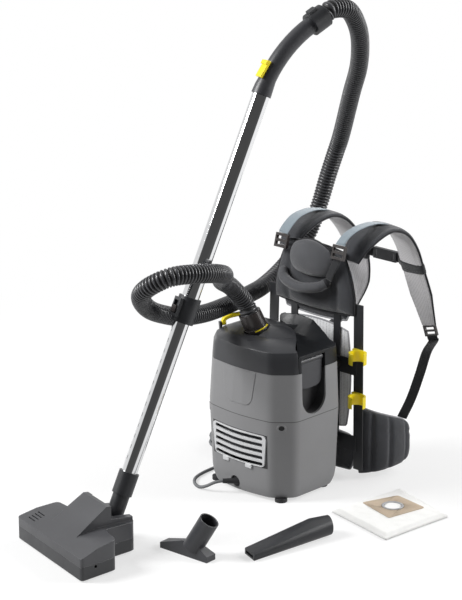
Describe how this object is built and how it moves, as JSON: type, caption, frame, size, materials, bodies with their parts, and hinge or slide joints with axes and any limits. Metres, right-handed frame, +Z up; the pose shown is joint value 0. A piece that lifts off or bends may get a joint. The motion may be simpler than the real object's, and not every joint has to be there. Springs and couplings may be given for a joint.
{
  "type": "backpack vacuum cleaner",
  "caption": "Backpack vacuum cleaner: motor housing on a padded harness, ribbed hose, bent handle, telescopic wand, turbine floor nozzle, loose tools and a spare bag.",
  "frame": {"origin": "on the floor under the middle of the motor housing", "axes": "+Z up, -Y towards the exhaust grille and the floor nozzle, +Y towards the wearer, +X to the side with the latch pocket"},
  "size_m": [0.6492, 1.0151, 1.028],
  "materials": {
    "black_plastic": "satin moulded",
    "housing_grey": "fine grain moulded",
    "lid_grey": "satin moulded",
    "gloss_black": "polished moulded",
    "silver_plastic": "silver moulded",
    "yellow_plastic": "moulded",
    "dark_grey_plastic": "moulded",
    "brown_black_plastic": "moulded",
    "red_plastic": "moulded",
    "hose_plastic": "ribbed extruded",
    "cord_rubber": "smooth",
    "black_rubber": "moulded",
    "chrome_tube": "polished",
    "steel": "machined",
    "charcoal_fabric": "woven cover over foam",
    "mesh_fabric": "spacer mesh",
    "webbing_blue_grey": "woven webbing",
    "webbing_black": "woven webbing",
    "fleece": "soft non-woven",
    "bristle": "tufts"
  },
  "bodies": {
    "root": {"base_plate": "dark_grey_plastic", "feet": "black_rubber", "lower_housing": "housing_grey", "upper_housing": "housing_grey", "housing_screws": "steel", "exhaust_grille": "silver_plastic", "exhaust_filter": "fleece", "motor": "black_plastic", "filter_basket": "black_plastic", "dust_bag": "fleece", "lid": "lid_grey", "lid_seal": "black_rubber", "inlet_port": "black_plastic", "rear_tray": "gloss_black", "latch_pin": "steel", "switch_bezel": "black_plastic", "cord_gland": "black_rubber", "mains_cord": "cord_rubber", "mains_coil": "cord_rubber", "mains_plug": "black_rubber", "harness_frame": "black_plastic", "yoke_cover": "charcoal_fabric", "head_pad": "charcoal_fabric", "grab_handle": "charcoal_fabric", "back_pad": "charcoal_fabric", "spine_pad": "mesh_fabric", "lumbar_pad": "charcoal_fabric", "hip_belt_right": "charcoal_fabric", "hip_belt_left": "charcoal_fabric", "shoulder_strap_right": "charcoal_fabric", "shoulder_strap_left": "charcoal_fabric", "lifter_straps": "webbing_blue_grey", "lifter_buckles": "brown_black_plastic", "sternum_strap": "webbing_black", "sternum_buckle": "black_plastic", "lower_straps": "webbing_black", "ladder_locks": "brown_black_plastic", "tool_clips": "yellow_plastic", "hose": "hose_plastic", "handle": "dark_grey_plastic", "upper_tube": "chrome_tube", "tube_collar": "black_plastic", "upholstery_nozzle": "dark_grey_plastic", "crevice_nozzle": "black_plastic", "spare_bag": "fleece"},
    "rotor": {"motor_shaft": "steel", "impeller": "steel"},
    "inlet_swivel": {"inlet_cuff": "brown_black_plastic"},
    "handle_swivel": {"handle_cuff": "black_plastic"},
    "air_control": {"air_slider": "yellow_plastic"},
    "tube_lock": {"lock_slider": "brown_black_plastic"},
    "lower_wand": {"lower_tube": "chrome_tube", "neck": "black_plastic"},
    "nozzle": {"nozzle_cover": "dark_grey_plastic", "nozzle_base": "black_plastic"},
    "brush": {"brush_roller": "bristle"},
    "wheels": {"nozzle_wheels": "black_rubber"},
    "latch_flap": {"side_latch": "dark_grey_plastic"},
    "lever": {"lid_lever": "yellow_plastic"},
    "switch": {"power_switch": "red_plastic"}
  },
  "joints": [
    {"name": "rotor_spin", "type": "hinge", "parent": "root", "child": "rotor", "pos_m": [0, 0.002, 0.06], "axis": [0, 0, 1], "continuous": true},
    {"name": "inlet_swivel_turn", "type": "hinge", "parent": "root", "child": "inlet_swivel", "pos_m": [-0.018, -0.016, 0.332], "axis": [-0.2563, -0.3055, 0.9171], "continuous": true},
    {"name": "handle_swivel_turn", "type": "hinge", "parent": "root", "child": "handle_swivel", "pos_m": [0.10977, -0.00691, 0.98281], "axis": [0.1975, 0.8623, 0.4664], "continuous": true},
    {"name": "air_control_slide", "type": "slide", "parent": "root", "child": "air_control", "axis": [0.1287, 0.5619, 0.8171], "range_m": [0, 0.01]},
    {"name": "tube_lock_slide", "type": "slide", "parent": "root", "child": "tube_lock", "axis": [0.0879, 0.384, 0.9191], "range_m": [0, 0.009]},
    {"name": "wand_extension", "type": "slide", "parent": "root", "child": "lower_wand", "axis": [0.0879, 0.384, 0.9191], "range_m": [0, 0.3]},
    {"name": "nozzle_tilt", "type": "hinge", "parent": "lower_wand", "child": "nozzle", "pos_m": [0.006, -0.46, 0.042], "axis": [0.9748, -0.2233, 0], "range_deg": [-20, 45]},
    {"name": "brush_spin", "type": "hinge", "parent": "nozzle", "child": "brush", "pos_m": [-0.01722, -0.56137, 0.025], "axis": [0.9748, -0.2233, 0], "continuous": true},
    {"name": "wheel_spin", "type": "hinge", "parent": "nozzle", "child": "wheels", "pos_m": [-0.00873, -0.52433, 0.006], "axis": [0.9748, -0.2233, 0], "continuous": true},
    {"name": "latch_flap_hinge", "type": "hinge", "parent": "root", "child": "latch_flap", "pos_m": [0.111, 0.0025, 0.298], "axis": [0, -1, 0], "range_deg": [0, 40]},
    {"name": "lever_hinge", "type": "hinge", "parent": "root", "child": "lever", "pos_m": [-0.106, -0.034, 0.3355], "axis": [-0.4364, -0.8948, -0.0942], "range_deg": [0, 60]},
    {"name": "switch_press", "type": "slide", "parent": "root", "child": "switch", "axis": [1, 0, 0], "range_m": [0, 0.003], "stiffness_N_per_m": 400, "springref_m": -0.001}
  ]
}
